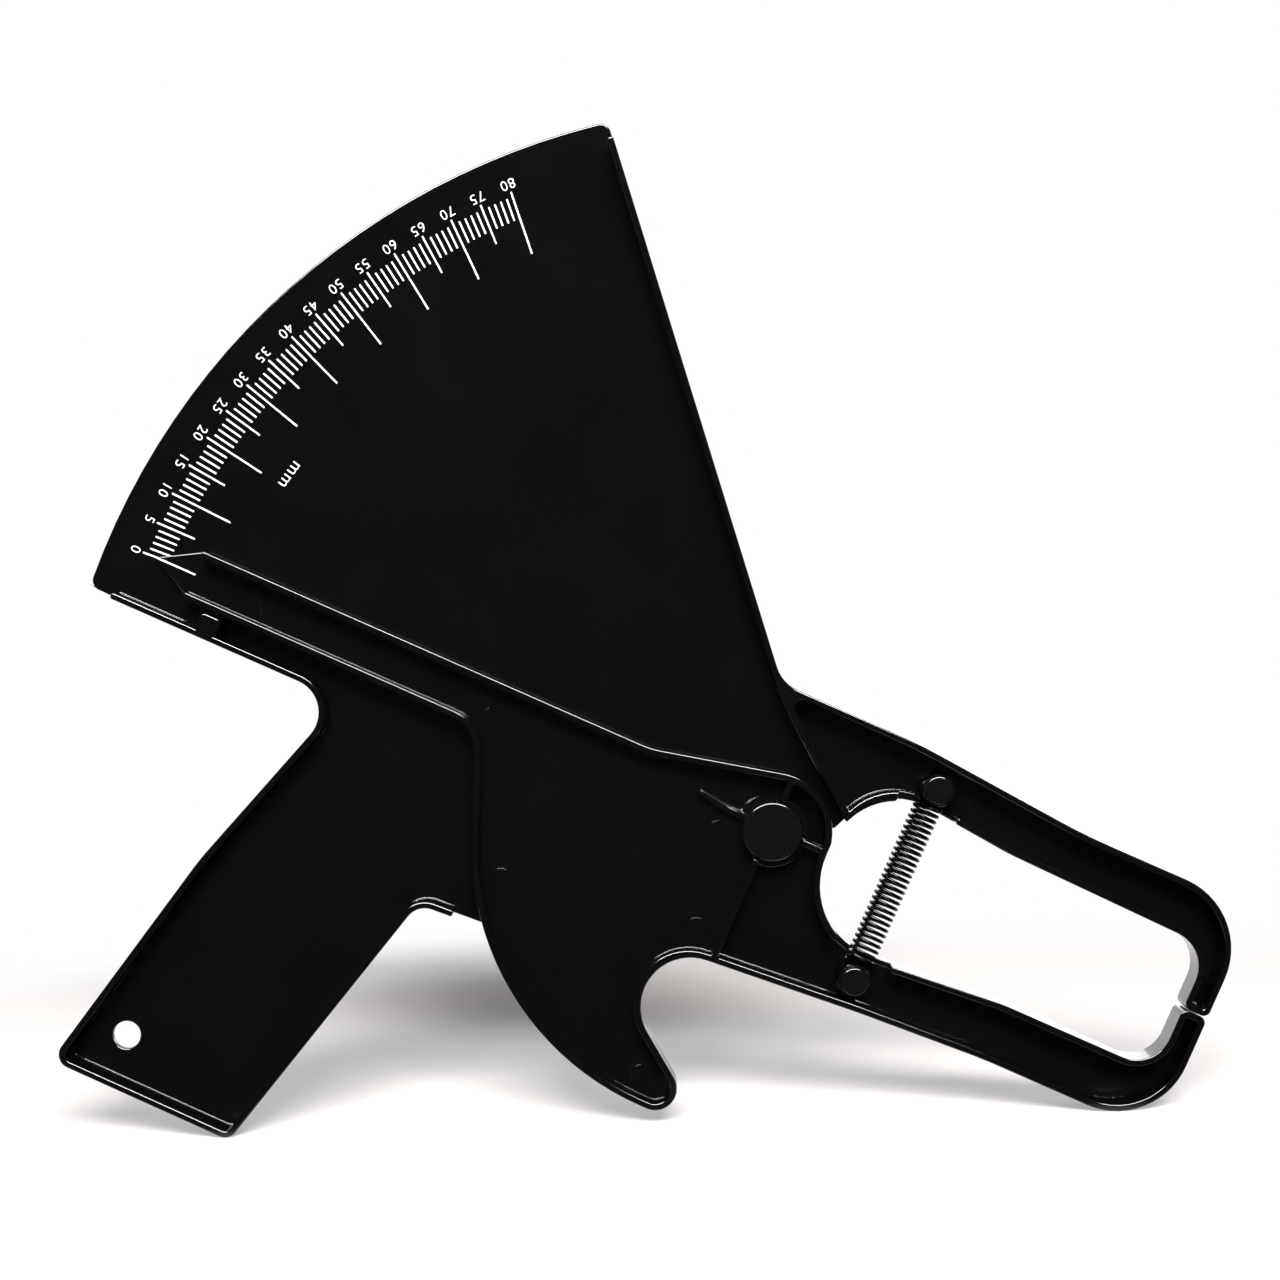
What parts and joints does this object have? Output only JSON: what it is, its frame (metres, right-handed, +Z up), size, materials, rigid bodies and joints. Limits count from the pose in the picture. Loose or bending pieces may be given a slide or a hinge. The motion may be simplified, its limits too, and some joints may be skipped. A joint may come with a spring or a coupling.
{
  "type": "skinfold caliper",
  "caption": "Skinfold caliper: flat moulded frame with a printed millimetre dial, grip and upper jaw, and a pivoting lever that is pointer, trigger and lower jaw, closed by a tension spring.",
  "frame": {"origin": "middle of the caliper's bounding box seen from above, at the height of the two corners it stands on: the grip's inner corner and the lower jaw's outer corner", "axes": "+Z up with the caliper standing on its grip and lower jaw; +X towards the jaws; the flat back faces +Y and the dial faces -Y"},
  "size_m": [0.2722, 0.012, 0.233],
  "materials": {
    "moulding": "glossy black moulded ABS",
    "pin_plastic": "glossy black moulded acetal",
    "washer_plastic": "dark nylon washer",
    "retainer_steel": "stamped spring steel",
    "spring_steel": "drawn spring wire, bright",
    "white_print": "white pad-printed ink"
  },
  "bodies": {
    "frame": {"frame_moulding": "moulding", "pivot_pin": "pin_plastic", "pivot_washer": "washer_plastic", "pivot_retainer": "retainer_steel", "spring_pin_upper": "pin_plastic", "scale_marks": "white_print"},
    "lever": {"lever_moulding": "moulding", "spring_pin_lower": "pin_plastic", "index_line": "white_print"},
    "spring_top": {"return_spring": "spring_steel", "spring_hook_upper": "spring_steel"},
    "spring_foot": {"spring_hook_lower": "spring_steel"}
  },
  "joints": [
    {"name": "lever_pivot", "type": "hinge", "parent": "frame", "child": "lever", "pos_m": [0.03113, 0, 0.06701], "axis": [0, 1, 0], "range_deg": [0, 45], "stiffness_Nm_per_rad": 0.35, "springref_deg": -57.3},
    {"name": "spring_swing", "type": "hinge", "parent": "frame", "child": "spring_top", "pos_m": [0.07003, -0.0015, 0.07533], "axis": [0, 1, 0], "range_deg": [0, 22.5]},
    {"name": "spring_stretch", "type": "slide", "parent": "spring_top", "child": "spring_foot", "axis": [-0.4317, 0, -0.902], "range_m": [0, 0.0212], "deforming": ["return_spring"]}
  ],
  "couplings": [
    {"joint": "spring_swing", "follows": "lever_pivot", "ratio": 0.5},
    {"joint": "spring_stretch", "follows": "lever_pivot", "m_per_rad": 0.026984}
  ]
}
